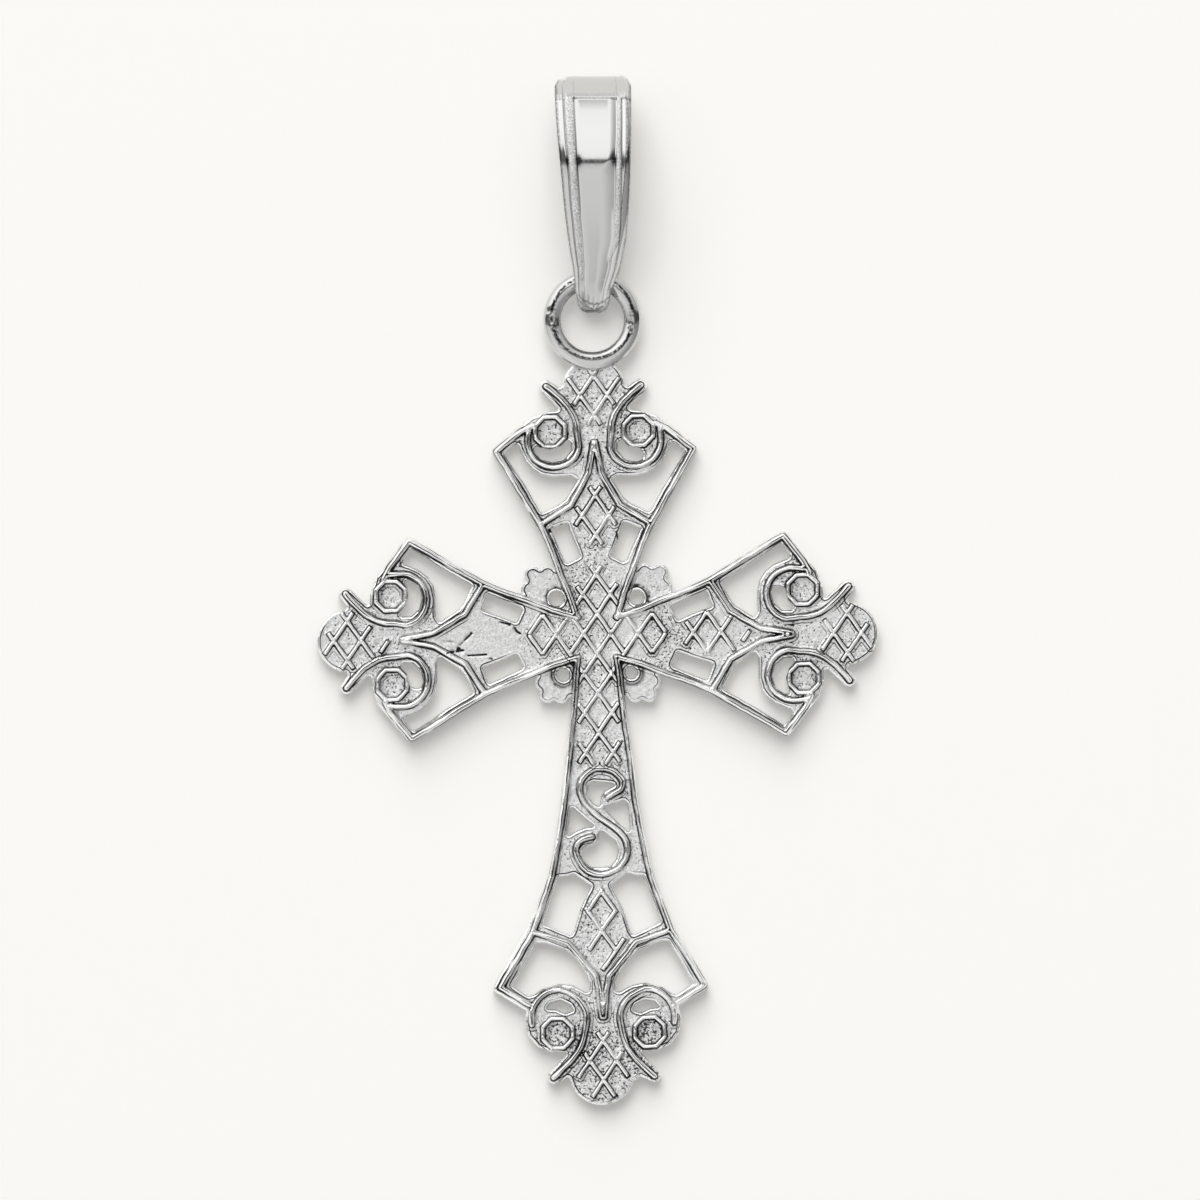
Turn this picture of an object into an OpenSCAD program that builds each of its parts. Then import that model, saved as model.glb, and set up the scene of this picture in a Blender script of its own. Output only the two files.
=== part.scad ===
// A small cast cross charm with filigree relief, a ring soldered to its top lobe and a
// folded bail through the ring. It lies on its back: +Z is up from the back, +Y points to
// the bail, and the origin is where the arms cross, on the back.

/* [Cross] */
// Width of the cross over its two side lobes
cross_w = 15.3; // [14:0.1:20]
// Thickness of the cast plate under its relief
plate_t = 0.6; // [0.55:0.05:0.8]
// Thickness of the scalloped rosette behind the crossing
rosette_t = 0.5; // [0.3:0.05:0.5]
// Radius that casting leaves in the corners of the pierced work
cast_r = 0.04; // [0.02:0.01:0.06]

/* [Relief] */
// Height of the rope wires and bezels above the plate
wire_h = 0.2; // [0.15:0.05:0.3]
// Width of a rope wire
wire_w = 0.15; // [0.12:0.01:0.18]
// Height of the trellis above the plate
trellis_h = 0.1; // [0.05:0.01:0.12]
// Width of a trellis stroke
trellis_w = 0.11; // [0.09:0.01:0.14]

/* [Ring] */
// Outer diameter of the soldered ring
ring_od = 2.68; // [2.5:0.01:2.9]
// Diameter of the ring's wire
ring_wire = 0.46; // [0.4:0.01:0.5]
// Height of the middle of the ring's wire above the back
ring_z = 0.62; // [0.6:0.01:0.7]
// How far the ring laps over the end of the top lobe
ring_lap = 0.35; // [0.25:0.01:0.4]
// How far right of the middle line the ring is soldered
ring_aside = 0.05; // [0:0.01:0.1]

/* [Bail] */
// Length of the bail from its foot to its top
bail_len = 6.5; // [5.5:0.1:8]
// Width of the bail at its top
bail_w = 2.1; // [1.8:0.1:2.6]
// Width of the bail at its foot
bail_foot_w = 0.9; // [0.8:0.05:1.1]
// Depth of the bail at its top
bail_depth = 3.4; // [2.8:0.1:4]
// Reach of the bail's rounded top along the bail
bail_round = 2.35; // [1.8:0.05:2.4]
// Depth of the bail at its foot
bail_foot_depth = 1.24; // [1.2:0.02:1.4]
// Thickness of the folded strap
bail_strap = 0.3; // [0.25:0.01:0.3]
// How far the two ribs stand out from the smooth sides of the strap
bail_rib_h = 0.08; // [0.05:0.01:0.1]
// How far the bail lies askew on the ring, in degrees
bail_turn = 0.9; // [0:0.1:2]

/* [Hidden] */

silver = "#d9dadc";
overlap = 0.1;
through = 3;

// The cross is set out on a grid of which 56.2 cells span it. Every table below is in
// cells, for one half of an arm: across from its middle line, then out from the crossing.
cell = cross_w / 56.2;

// Outer edge of a short arm, from its root out to the lobe
short_edge = [
    [0, 0], [2.3, 1.9], [3.1, 4.3], [4.0, 6.6], [4.95, 9.2], [5.75, 11.0], [10.15, 18.55],
    [10.2, 18.9], [9.95, 19.2], [7.4, 21.2], [6.3, 22.1], [4.6, 22.65], [3.7, 22.7],
    [2.9, 23.6], [4.35, 25.62], [3.85, 25.3], [3.45, 25.0], [3.1, 25.2], [0, 25.2],
];
short_frame = [[2.0, 1.9], [2.75, 4.4], [3.7, 6.7], [4.65, 9.4], [5.4, 11.2], [9.85, 18.7]];
short_end = [[9.85, 18.7], [7.25, 20.7], [6.1, 21.3]];
short_fork = [[5.3, 11.45], [2.45, 13.25], [0.65, 16.4], [0.1, 19.5]];
short_scroll = [
    [4.75, 25.15], [3.6, 24.2], [2.75, 23.3], [2.05, 22.2], [1.75, 21.2], [1.7, 20.3],
    [1.55, 19.0], [1.95, 18.0], [2.9, 17.25], [4.2, 17.0], [5.4, 17.35], [6.25, 18.2],
    [6.65, 19.3], [6.55, 20.9],
];
short_eye = [4.43, 20.6];
short_lobe = [0, 24.9, 3.15];

// Openings of a short arm: beside the root, beside the fork, and behind the eye
short_slot = [[2.85, 11.5], [4.5, 10.9], [3.1, 7.6], [2.8, 7.45], [1.55, 8.05], [2.2, 9.6]];
short_window = [
    [1.75, 15.75], [2.95, 13.85], [3.5, 13.4], [5.3, 12.5], [5.5, 12.65], [7.05, 15.3],
    [9.1, 18.5], [8.0, 19.35], [7.6, 19.3], [7.35, 18.6], [6.95, 17.7], [6.25, 16.85],
    [5.4, 16.3], [4.2, 16.05], [2.3, 16.1],
];
short_crescent = [
    [2.35, 19.5], [2.35, 18.6], [3.1, 17.75], [4.2, 17.5], [5.3, 17.8], [5.95, 18.6],
    [5.95, 19.2], [5.4, 19.0], [4.4, 18.8], [3.4, 19.1], [2.8, 19.7],
];
short_crescent_part = [
    [2.35, 19.5], [2.35, 18.6], [3.1, 17.75], [4.2, 17.5], [4.8, 17.7], [4.85, 18.3],
    [4.55, 18.85], [3.4, 19.1], [2.8, 19.7],
];

// Outer edge of the long arm
long_edge = [
    [0, 0], [2.3, 2.3], [2.7, 6.5], [3.3, 11.6], [3.9, 16.5], [4.45, 20.0], [5.25, 23.9],
    [7.25, 29.4], [10.5, 34.7], [10.55, 35.1], [10.3, 35.35], [7.6, 37.0], [7.85, 38.4],
    [7.5, 39.8], [6.6, 40.9], [5.2, 41.45], [3.9, 41.5], [3.3, 42.4], [4.6, 44.45],
    [4.1, 44.2], [3.55, 43.95], [3.3, 44.3], [0, 44.3],
];
// The cast edge is broader on the left of the long arm's end
long_left_strip = [
    [-4.9, -23.9], [-5.25, -23.9], [-7.6, -29.2], [-10.9, -34.75], [-10.95, -35.15],
    [-10.65, -35.45], [-7.7, -37.25], [-7.0, -36.4], [-10.0, -34.6], [-7.0, -29.4],
];
long_frame = [
    [2.0, 2.3], [2.4, 6.6], [3.0, 11.6], [3.6, 16.5], [4.15, 20.0], [4.95, 24.0],
    [6.9, 29.5], [10.2, 34.9],
];
long_end = [[10.2, 34.9], [7.35, 36.65]];
long_fork = [[6.85, 29.4], [3.4, 30.6], [0.65, 33.9], [0.4, 35.2], [0.12, 38.0]];
long_scroll = [
    [5.05, 44.0], [4.0, 43.0], [3.05, 42.0], [2.35, 41.0], [2.0, 40.0], [1.75, 38.9],
    [1.65, 37.8], [2.0, 36.8], [2.8, 35.9], [4.25, 35.2], [5.5, 35.4], [6.5, 36.2],
    [7.1, 37.3], [7.1, 38.7],
];
long_eye = [4.6, 39.55];
long_lobe = [-0.2, 43.5, 3.3];
long_slot = [
    [0.95, 24.8], [2.65, 23.65], [3.3, 23.85], [4.3, 23.9], [5.9, 28.6], [3.1, 29.85],
    [2.85, 29.4], [2.1, 27.1],
];
long_window = [
    [1.3, 35.45], [1.3, 34.5], [1.75, 33.4], [2.6, 32.2], [3.4, 31.45], [5.6, 30.6],
    [6.6, 30.5], [9.05, 34.75], [7.4, 35.85], [6.9, 35.7], [6.0, 35.05], [4.3, 34.6],
    [3.0, 34.8], [1.7, 35.5],
];
long_crescent = [
    [2.95, 37.35], [3.3, 36.75], [4.2, 36.3], [5.2, 36.5], [5.75, 37.15], [4.7, 37.2],
    [3.7, 37.6],
];

// The S scroll of the long arm, and the four openings around it: across, then down
s_scroll = [
    [0.75, 16.05], [1.6, 15.6], [2.15, 15.2], [2.25, 14.4], [1.8, 13.8], [1.2, 13.35],
    [0, 13.1], [-0.9, 13.35], [-1.75, 14.1], [-2.0, 15.0], [-1.8, 16.0], [-1.2, 17.0],
    [0, 18.1], [1.3, 19.0], [2.3, 20.0], [2.65, 21.1], [2.45, 22.3], [1.5, 23.3],
    [0.1, 23.75], [-1.3, 23.4], [-2.1, 22.4], [-2.45, 21.4], [-2.25, 20.6], [-1.7, 20.2],
    [-0.8, 19.95],
];
s_openings = [
    [[-1.1, 14.7], [-0.6, 14.45], [1.4, 14.7], [1.45, 14.95], [0.5, 15.4], [0.1, 16.0],
     [0.0, 17.0], [-0.7, 16.6], [-1.15, 15.9]],
    [[0.35, 17.1], [2.4, 16.35], [2.75, 16.7], [3.0, 19.7], [1.6, 18.45]],
    [[-2.85, 16.9], [-1.2, 18.45], [-0.45, 18.95], [-1.6, 19.1], [-2.6, 19.5], [-3.3, 20.0]],
    [[0.0, 19.3], [1.4, 20.3], [1.75, 21.2], [1.5, 22.3], [0.9, 23.0], [-0.9, 23.0],
     [-1.7, 22.2], [-1.9, 21.4], [-1.6, 21.0], [-0.7, 20.8], [-0.2, 20.3]],
];

// Octagonal bezels: radius of the plate under one, of its outer edge and of its dimple
eye_skirt_r = 2.05;
eye_r = 1.82;
eye_dimple_r = 1.36;
eye_sides = 8;
horn_w = 1.25;

// Webs of plate that fill the corners between two arms, above and below the crossing
upper_web = [[2.0, 2.0], [2.9, 4.3], [4.3, 2.9]];
lower_web = [[2.0, -2.0], [2.35, -3.9], [3.9, -2.6]];

// The rosette: each row is across, up and radius of one scallop
rosette_core = [[-6.6, 6.4], [6.6, 6.4], [7.1, 4.4], [5.9, -4.4], [5.3, -5.9], [-5.3, -5.9],
                [-5.9, -4.4], [-7.1, 4.4]];
scallops = [
    [6.35, 6.35, 0.85], [4.85, 6.35, 0.9], [6.65, 4.85, 0.9], [5.1, -5.75, 0.8],
    [3.7, -5.75, 0.85], [5.5, -4.5, 0.8],
];
// Round holes of the rosette: across, up, radius of the hole and of its rim
pinholes = [[-4.0, 3.9, 0.75, 1.0], [4.0, 3.9, 0.72, 1.0], [-3.45, -3.7, 0.63, 1.1],
            [3.35, -3.65, 0.6, 1.1]];

// The trellis: its crossings lie a half pitch apart both ways, and stroke ends are counted
// in half pitches from its middle. Each row is one stroke's start and end.
trellis_pitch = [1.37, 1.98];
trellis_middle = [0, 0.35];
trellis_strokes = [
    [-0.4, 3.4, 4, -1], [-1.4, 2.4, 2, -1], [-2, 1, 1.5, -2.5], [-4, 1, 1.5, -4.5],
    [-5, 0, -4, -1], [-1.5, -3.5, 1.5, -6.5], [-1.5, -5.5, -0.4, -6.6], [4, 1, 5, 0],
    [-4, -1, 0.4, 3.4], [-2, -1, 1.5, 2.5], [-1.5, -2.5, 2, 1], [-1.5, -4.5, 4, 1],
    [-1.5, -6.5, 1.5, -3.5], [4, -1, 5, 0], [0.4, -6.6, 1.5, -5.5], [-5, 0, -4, 1],
    [6.4, -0.6, 8, 1], [8, 1, 10, -1], [6.45, 0.55, 8, -1], [8, -1, 10, 1],
    [10.6, -0.5, 11.15, 0.05], [-15.85, -0.8, -15.25, -0.2],
    [0, -13, 1.1, -14.1], [-1.2, -13.8, 1, -16], [-1, -14, 0.1, -12.9], [-1, -16, 1, -14],
    [0, -17, 1.6, -15.4],
];
// Knots of four strokes: across and up in half pitches, then how far the strokes run on past
// the left corner down and up, past the right corner down and up, and past the lowest
trellis_knots = [
    [0, 6, 0.5, 0.42, 0.5, 0.42, 0.5], [0, 12.05, 0.5, 0.87, 0.5, 0.87, 0.5],
    [-18.25, -0.15, 0.7, 0.42, 0.93, 0.7, 0.45], [18.25, -0.15, 0.86, 0.68, 0.76, 0.45, 0.45],
    [-0.05, -21.55, 0.85, 0.42, 0.85, 0.42, 0.85],
];

stub = 0.42;

// Where the ring and the bail lie
lobe_top = (short_lobe[1] + short_lobe[2]) * cell;
ring_y = lobe_top + ring_od / 2 - ring_lap;
bail_drop = 0.36;
bail_foot_r = bail_foot_depth / 2;
bail_foot_y = ring_y + (ring_od - ring_wire) / 2 - bail_drop;
bail_top_y = bail_foot_y - bail_foot_r + bail_len - bail_round;
// Rows of the bail's plan: place along it from 0 at its foot to 1 at its top, and width
// there as a share of the way from the foot's width to the top's
bail_taper = [[0, -0.3], [0.015, -0.3], [0.03, -0.12], [0.055, -0.05], [0.08, -0.02],
              [0.12, 0.11], [0.2, 0.33], [0.32, 0.59], [0.48, 0.75], [0.64, 0.86], [0.8, 0.95],
              [1, 1]];
// Each rib lies between two shares of the half width, and leaves off short of the foot
rib_in = 0.54;
rib_out = 0.76;
rib_from_foot = 0.85;

// Geometry of points and lines
function reversed(list) = [for (i = [len(list) - 1:-1:0]) list[i]];

// A point at share t of the way from b to c on the smooth curve through a, b, c and d
function curve_point(a, b, c, d, t) =
    0.5 * (2 * b + (c - a) * t + (2 * a - 5 * b + 4 * c - d) * t * t
           + (3 * b - a - 3 * c + d) * t * t * t);

function smooth(p, steps = 2) = [
    for (i = [0:len(p) - 2], k = [0:steps - 1])
        curve_point(p[max(i - 1, 0)], p[i], p[i + 1], p[min(i + 2, len(p) - 1)], k / steps),
    p[len(p) - 1],
];

function down(points) = [for (p = points) [p[0], -p[1]]];

function trellis_point(i, j) =
    [trellis_middle[0] + i * trellis_pitch[0], trellis_middle[1] + j * trellis_pitch[1]];

function unit(v) = v / norm(v);

// Sideways step at point i of a line, as long as a mitre there needs for a half width of 1
function side_step(points, i) =
    let (last = len(points) - 1,
         ahead = unit(points[min(i + 1, last)] - points[min(i, last - 1)]),
         behind = unit(points[max(i, 1)] - points[max(i - 1, 0)]),
         both = ahead + behind)
    [-both[1], both[0]] * 2 / (both * both);

// A line of even width with round ends, through points in cells
module rope(points, width) {
    sides = [for (i = [0:len(points) - 1]) side_step(points, i) * width / 2];
    polygon(concat(points + sides, reversed(points - sides)));
    for (end = [points[0], points[len(points) - 1]])
        translate(end) circle(d = width, $fn = 8);
}

module mirrored() {
    children();
    mirror([1, 0]) children();
}

module short_arms() {
    for (turn = [90, 0, -90]) rotate(turn) children();
}

module eye_octagon(place, r) {
    translate(place) rotate(180 / eye_sides) circle(r = r, $fn = eye_sides);
}

// Turns an outline in cells into one in millimetres with the filled corners of a casting
module cast_outline() {
    offset(r = -cast_r, $fn = 12) offset(delta = cast_r) scale([cell, cell]) children();
}

// A raised line keeps its width and has no corners to soften
module relief_outline() {
    offset(delta = 0) scale([cell, cell]) children();
}

module short_arm_plate() {
    mirrored() {
        polygon(short_edge);
        rope([short_scroll[3], short_scroll[0]], horn_w);
        eye_octagon(short_eye, eye_skirt_r);
    }
    translate([short_lobe[0], short_lobe[1]]) circle(r = short_lobe[2], $fn = 64);
}

module long_arm_plate() {
    mirrored() {
        polygon(down(long_edge));
        rope(down([long_scroll[3], long_scroll[0]]), horn_w);
        eye_octagon(down([long_eye])[0], eye_skirt_r);
    }
    translate([long_lobe[0], -long_lobe[1]]) circle(r = long_lobe[2], $fn = 64);
    polygon(long_left_strip);
}

module short_arm_openings() {
    mirrored() {
        polygon(short_slot);
        polygon(short_window);
    }
}

// The gap behind each eye is a whole crescent on one side of an arm and, where the casting
// ran into it, a shorter one on the other
module crescents() {
    rotate(0) {
        mirror([1, 0]) polygon(short_crescent);
        polygon(short_crescent_part);
    }
    rotate(90) {
        polygon(short_crescent);
        mirror([1, 0]) polygon(short_crescent_part);
    }
    rotate(-90) {
        mirror([1, 0]) polygon(short_crescent_part);
        polygon(short_crescent);
    }
    mirrored() polygon(down(long_crescent));
}

module long_arm_openings() {
    mirrored() {
        polygon(down(long_slot));
        polygon(down(long_window));
    }
    for (opening = s_openings) polygon(down(opening));
}

module rosette_outline() {
    polygon(rosette_core);
    mirrored() for (s = scallops) translate([s[0], s[1]]) circle(r = s[2], $fn = 32);
}

module arm_wires(frame, end, fork, scroll, eye) {
    mirrored() {
        rope(frame, wire_w / cell);
        rope(end, wire_w / cell);
        rope(fork, wire_w / cell);
        rope(smooth(scroll), wire_w / cell);
        difference() {
            eye_octagon(eye, eye_r);
            eye_octagon(eye, eye_dimple_r);
        }
    }
}

module wires_outline() {
    short_arms() arm_wires(short_frame, short_end, short_fork, short_scroll, short_eye);
    arm_wires(down(long_frame), down(long_end), down(long_fork), down(long_scroll),
              down([long_eye])[0]);
    rope(smooth(down(s_scroll)), wire_w / cell);
}

module trellis_stroke(s) {
    start = trellis_point(s[0], s[1]);
    run = trellis_point(s[2], s[3]) - start;
    translate(start)
        rotate(atan2(run[1], run[0]))
            translate([0, -trellis_w / cell / 2]) square([norm(run), trellis_w / cell]);
}

module trellis_outline() {
    for (s = trellis_strokes) trellis_stroke(s);
    for (k = trellis_knots, side = [-1, 1]) {
        past_down = side < 0 ? k[2] : k[4];
        past_up = side < 0 ? k[5] : k[3];
        trellis_stroke([k[0] - stub * side, k[1] + 1 + stub,
                        k[0] + (1 + past_down) * side, k[1] - past_down]);
        trellis_stroke([k[0] - (1 + past_up) * side, k[1] + past_up,
                        k[0] + k[6] * side, k[1] - 1 - k[6]]);
    }
}

module pinhole_rims() {
    for (p = pinholes) translate([p[0], p[1]]) circle(r = p[3], $fn = 32);
}

module plate_outline() {
    difference() {
        union() {
            short_arms() short_arm_plate();
            long_arm_plate();
            mirrored() {
                polygon(upper_web);
                polygon(lower_web);
            }
            pinhole_rims();
        }
        short_arms() short_arm_openings();
        crescents();
        long_arm_openings();
    }
}

module plate() {
    linear_extrude(plate_t) cast_outline() plate_outline();
}

module rosette() {
    linear_extrude(rosette_t) cast_outline() rosette_outline();
}

module relief() {
    translate([0, 0, plate_t - overlap]) {
        linear_extrude(overlap + wire_h) relief_outline() wires_outline();
        linear_extrude(overlap + trellis_h) relief_outline() trellis_outline();
    }
}

module ring() {
    translate([ring_aside, ring_y, ring_z])
        rotate_extrude($fn = 64)
            translate([(ring_od - ring_wire) / 2, 0]) circle(d = ring_wire, $fn = 24);
}

// The cast plate with its relief and the soldered ring are one solid
module cross() {
    color(silver)
        difference() {
            union() {
                plate();
                rosette();
                relief();
                ring();
            }
            for (p = pinholes)
                translate([p[0] * cell, p[1] * cell, -through / 2])
                    cylinder(r = p[2] * cell, h = through, $fn = 32);
        }
}

// Side view of the bail's outside or inside, cut back by inset from its full depth: an
// ellipse at the top, a round foot and the flat flanks that touch both, the lower one level
module bail_side(inset) {
    offset(delta = -inset)
        hull() {
            translate([bail_top_y, bail_depth / 2])
                scale([bail_round, bail_depth / 2])
                    circle(r = 1, $fn = 96);
            translate([bail_foot_y, bail_foot_r]) circle(r = bail_foot_r, $fn = 48);
        }
}

module bail_solid(inset, width) {
    rotate([90, 0, 90])
        translate([0, 0, -width / 2])
            linear_extrude(width) bail_side(inset);
}

// Plan of the bail between two shares of its half width
module bail_plan(share) {
    foot_end = bail_foot_y - bail_foot_r;
    edge = [for (row = bail_taper)
        [share * (bail_foot_w + (bail_w - bail_foot_w) * row[1]) / 2,
         foot_end + (bail_len + 2 * overlap) * row[0] - overlap]];
    polygon(concat(edge, reversed([for (p = edge) [-p[0], p[1]]])));
}

module bail_band(share, inset) {
    intersection() {
        bail_solid(inset, bail_w + 2 * overlap);
        translate([0, 0, -overlap])
            linear_extrude(bail_depth + 2 * overlap) bail_plan(share);
    }
}

// The foot's end, where the strap is smooth from edge to edge
module below_ribs() {
    rib_end = bail_foot_y - bail_foot_r + rib_from_foot;
    translate([-bail_w, rib_end - bail_len, -overlap])
        cube([2 * bail_w, bail_len, bail_depth + 2 * overlap]);
}

module bail_strap_loop() {
    difference() {
        union() {
            bail_band(1, bail_rib_h);
            bail_band(rib_out, bail_rib_h / 2);
            difference() {
                bail_band(rib_out, 0);
                bail_band(rib_in, -overlap);
                below_ribs();
            }
        }
        bail_solid(bail_strap, bail_w + 4 * overlap);
    }
}

module bail() {
    color(silver)
        translate([ring_aside, bail_foot_y, 0])
            rotate(-bail_turn)
                translate([0, -bail_foot_y, 0])
                    bail_strap_loop();
}

cross();
bail();
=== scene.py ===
# The looks of a cast filigree cross charm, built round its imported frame. The cross is
# one casting whose relief is raised over the frame's flat faces, with a ring soldered to
# its top lobe and a folded bail through the ring. Shapes are worked out in millimetres.
import math

import bpy
import numpy as np
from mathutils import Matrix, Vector, noise
from mathutils.bvhtree import BVHTree
from mathutils.geometry import delaunay_2d_cdt


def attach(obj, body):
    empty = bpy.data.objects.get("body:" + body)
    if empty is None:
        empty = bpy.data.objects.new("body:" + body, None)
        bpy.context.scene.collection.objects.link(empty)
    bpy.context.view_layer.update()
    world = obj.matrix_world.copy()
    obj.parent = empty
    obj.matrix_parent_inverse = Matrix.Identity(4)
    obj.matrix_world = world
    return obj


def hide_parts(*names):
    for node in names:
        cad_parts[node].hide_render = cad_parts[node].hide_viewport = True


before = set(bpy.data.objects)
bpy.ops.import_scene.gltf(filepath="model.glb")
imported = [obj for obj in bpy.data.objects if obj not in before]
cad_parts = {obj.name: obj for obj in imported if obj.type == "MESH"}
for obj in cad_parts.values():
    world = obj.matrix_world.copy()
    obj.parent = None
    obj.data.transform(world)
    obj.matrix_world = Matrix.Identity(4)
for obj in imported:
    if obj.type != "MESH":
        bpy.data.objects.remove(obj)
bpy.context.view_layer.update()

MM = 0.001

# The grid that the cross is set out on
CROSS_WIDTH = 15.3
CELLS_ACROSS = 56.2
CELL = CROSS_WIDTH / CELLS_ACROSS

# Reading the frame: how near two corners and two heights are taken as one, how far off an
# edge is looked for, and the least area of a level in square millimetres
WELD = 1e-4
FLAT = 1e-4
SAME_LEVEL = 1e-3
EDGE_REACH = 0.4
SMALLEST_LEVEL = 0.5
TINY = 1e-6

# Raised lines: half width of the rounded crown, and the share of the height that stands at
# a line's edge and fades away outside it. The line begins between two shares of its crown.
WIRE_HALF = 0.075
WIRE_ROOT = 0.24
STROKE_HALF = 0.055
STROKE_ROOT = 0.3
ROOT_FADE = 0.02
LINE_BEGINS = (0.3, 0.8)

# Edges of the cross: rounding of its rims, height of the walls' upper row, width of the step
# down to the rosette, bead inside the outline (height, place, reach), and the insets where
# the upper rim's polish ends and is in full
EDGE_ROUND = 0.05
BACK_ROUND = 0.04
WALL_ROW = 0.32
STEP_FADE = 0.045
BEAD = (0.018, 0.05, 0.02)
EDGE_POLISHED = (0.075, 0.045)
# What the material is told over the walls and the back, which get some painted shade
WALL_VALUES = {"polish": 0.6, "pitted": 0.2, "shaded": 0.35, "bare": 0.0, "in_edge": 0.0,
               "in_wire": -1.0, "in_stroke": -1.0, "by_wire": 0.0, "by_stroke": 0.0}

# Unevenness of the casting: its amounts, and the size and seed of each cloud of noise
LINE_WOBBLE = 0.012
WOBBLE = (0.3, 41.0)
FINE_WOBBLE = (0.12, 43.0)
LINE_WEAR = 0.2
WEAR = (0.7, 7.3)
WARP = 0.02
WARP_SIZE = 1.3
WARP_SEEDS = (11.0, 23.0)
WAVER = 0.011
WAVER_SIZE = 0.26
WAVER_SEEDS = (13.0, 25.0)
GRAIN_HEIGHT = 0.011
GRAIN_SIZE = 0.085
GRAIN = (GRAIN_SIZE, 1.7)
FINE_GRAIN = (GRAIN_SIZE / 2.3, 5.1)
PIT_DEPTH = 0.035
PITS = (GRAIN_SIZE * 1.6, 17.0)
PIT_EDGE = (0.2, 0.6)

# Points of the cross: their steps and least gaps on its lines and on the open ground, and
# insets of the rows along its edges. Those beside a gouge are shares of its half width.
LINE_STEP = 0.05
GROUND_STEP = 0.06
LINE_GAP = 0.017
GROUND_GAP = 0.036
HASH_CELL = 0.06
OUTLINE_MARGIN = 0.008
WIRE_ROWS = (0.072, 0.03, 0.011, -0.03)
STROKE_ROWS = (0.052, 0.018, -0.028)
OUTLINE_ROWS = (0.014, 0.05, 0.1)
ROSETTE_ROWS = (0.02, -0.02)
GOUGE_ROWS = (0, -1.4, 1.4)

# Dished eyes: place in cells, radius of the dish in cells, and its depth
SHORT_EYE = (4.43, 20.6)
LONG_EYE = (4.6, -39.55)
EYE_RADIUS = 1.32
EYE_DEPTH = 0.05

# Round holes of the rosette: place in cells, radius of the hole and of its rim. The rim's
# dark foot, which is painted shade, has its place beyond the rim and its reach, in cells.
PINHOLES = [((-4.0, 3.9), 0.75, 1.1), ((4.0, 3.9), 0.72, 1.1), ((-3.45, -3.7), 0.63, 1.15),
            ((3.35, -3.65), 0.6, 1.15)]
RIM_HEIGHT = 0.06
RIM_FOOT = (0.08, 0.12)

# Flaws of the casting, in cells: a smooth patch on the left arm (its middle, reach and edge),
# and gouges, each from one point to another with its half width and depth in millimetres,
# which a cloud breaks up
SMOOTH_PATCH = ((-12.3, 0.4), (4.6, 3.0))
PATCH_EDGE = (0.75, 1.15)
GOUGES = [
    ((-12.7, 0.45), (-13.75, -0.6), 0.028, 0.05), ((-13.75, -0.6), (-14.05, -1.15), 0.045, 0.07),
    ((-13.5, -1.1), (-15.0, -1.35), 0.036, 0.06), ((-14.2, -0.3), (-15.3, -0.15), 0.024, 0.02),
    ((-12.9, -1.65), (-11.1, -1.6), 0.026, 0.06), ((-10.8, -1.98), (-10.6, -2.0), 0.03, 0.05),
    ((-9.75, 1.65), (-8.9, 1.45), 0.026, 0.05), ((-8.9, 1.45), (-8.3, 1.2), 0.038, 0.06),
    ((-8.3, 1.2), (-8.0, 0.7), 0.032, 0.06), ((-8.0, 0.7), (-7.7, 0.5), 0.03, 0.05),
    ((-4.6, 10.7), (-3.3, 11.2), 0.045, 0.06), ((2.1, 10.4), (2.4, 9.2), 0.025, 0.04),
]
GOUGE_BREAKS = (0.08, 31.0)

# Pitting of the ground: its cloud, where it begins inside the outline, and where the rough
# lower end begins and is in full along Y, in cells
PITTING = (1.4, 9.0)
PITTING_BEGINS = (0.06, 0.14)
ROUGH_END = (-37.0, -40.5)

# Strength of the painted shade lines beside wires and strokes, and what is added where the
# line's edge faces down the sheet, the side that shadows fall to. They are fainter by a share
# over the rosette, and over the long arm, which begins between two places along Y, in cells.
BY_WIRE = (0.85, 0.65)
BY_STROKE = (0.75, 0.65)
ROSETTE_FAINTER = 0.6
LONG_ARM_FAINTER = 0.22
LONG_ARM = (-3.0, -6.0)

# Ring: radius of its middle line and of its wire, its place, and its points. Wire of a
# squareness of 2 would be round; this one's crest is slightly flattened.
RING_MAJOR = 1.1
RING_WIRE = 0.243
RING_Y = 8.626
RING_Z = 0.62
RING_AROUND = 432
RING_SECTION = 96
RING_SQUARENESS = 2.4
# Lumps a radian round the ring and round its wire, with their seed
RING_LUMPS = (14, 3.5, 6.0)
# Solder left on the ring: turn round the ring and round its wire, and their reaches, degrees
SOLDER = [((166, 62), (3, 14)), ((178, 88), (5, 12)), ((188, 108), (5, 12)),
          ((202, 100), (5, 9)), ((216, 96), (5, 8)), ((-4, 112), (4, 16)), ((-14, 96), (3, 9))]
# The dark line off the ring's crest, a painted reflection of the studio's dark gap: offset to
# the bail's side on the near and far half, and its edges
LINE_OFFSET = (0.2, 0.36)
LINE_EDGES = (0.185, 0.05)

# Bail in side view, as (Y, Z): a round foot, an oval top, and a strap drawn round both
BAIL_FOOT = (9.376, 0.62)
BAIL_FOOT_RADIUS = 0.62
BAIL_TOP = (12.906, 1.7)
BAIL_TOP_HALF = (2.35, 1.7)
FOOT_END = BAIL_FOOT[0] - BAIL_FOOT_RADIUS
BAIL_STATIONS = 760
BAIL_FACINGS = 1440
# Bail in plan: its widths and length, the turn of the whole about its foot in degrees, how
# far its foot lies to the right, and how thick its strap is
BAIL_FOOT_WIDTH = 0.9
BAIL_WIDTH = 2.1
BAIL_LENGTH = 6.5
BAIL_TURN = 0.9
BAIL_ASIDE = 0.05
BAIL_STRAP = 0.3
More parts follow.
